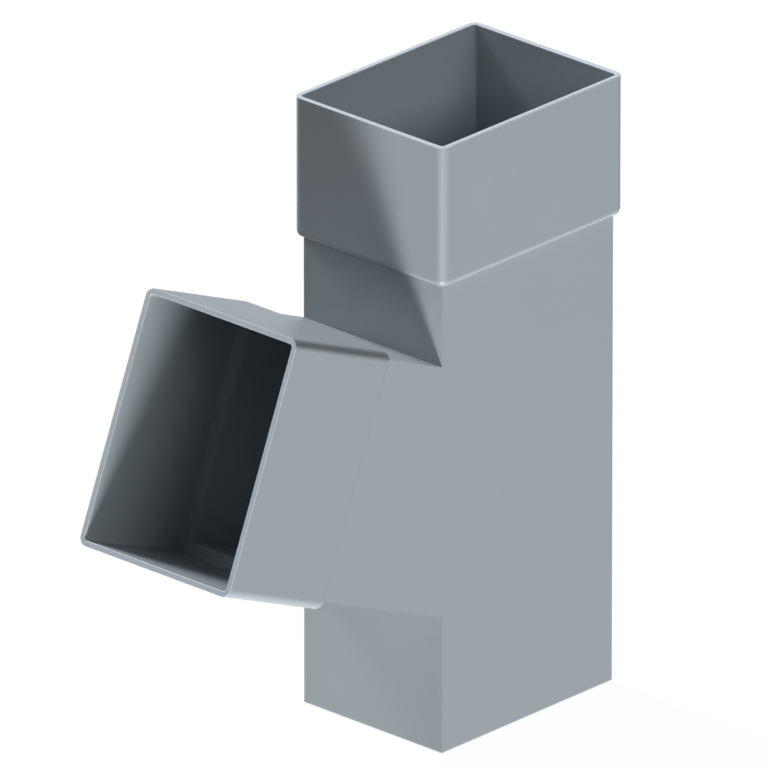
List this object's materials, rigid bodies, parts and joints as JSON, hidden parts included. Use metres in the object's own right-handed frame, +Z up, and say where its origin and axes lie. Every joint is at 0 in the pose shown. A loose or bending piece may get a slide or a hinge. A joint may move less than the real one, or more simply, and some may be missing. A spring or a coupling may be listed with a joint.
{
  "type": "downpipe branch",
  "caption": "Rectangular downpipe branch: a straight main pipe with a spigot end below and a socket on top, and a side branch with its own socket rising from one narrow face.",
  "frame": {"origin": "middle of the main pipe's lower end, on the pipe's axis, in the plane of the spigot's end face", "axes": "+Z up the main pipe to the upper socket, -X towards the branch, Y across the narrow side of the section"},
  "size_m": [0.1846, 0.065, 0.21],
  "materials": {
    "grey_pvc": "smooth moulded grey PVC with a satin gloss"
  },
  "bodies": {
    "root": {"downpipe_branch": "grey_pvc"}
  },
  "joints": []
}
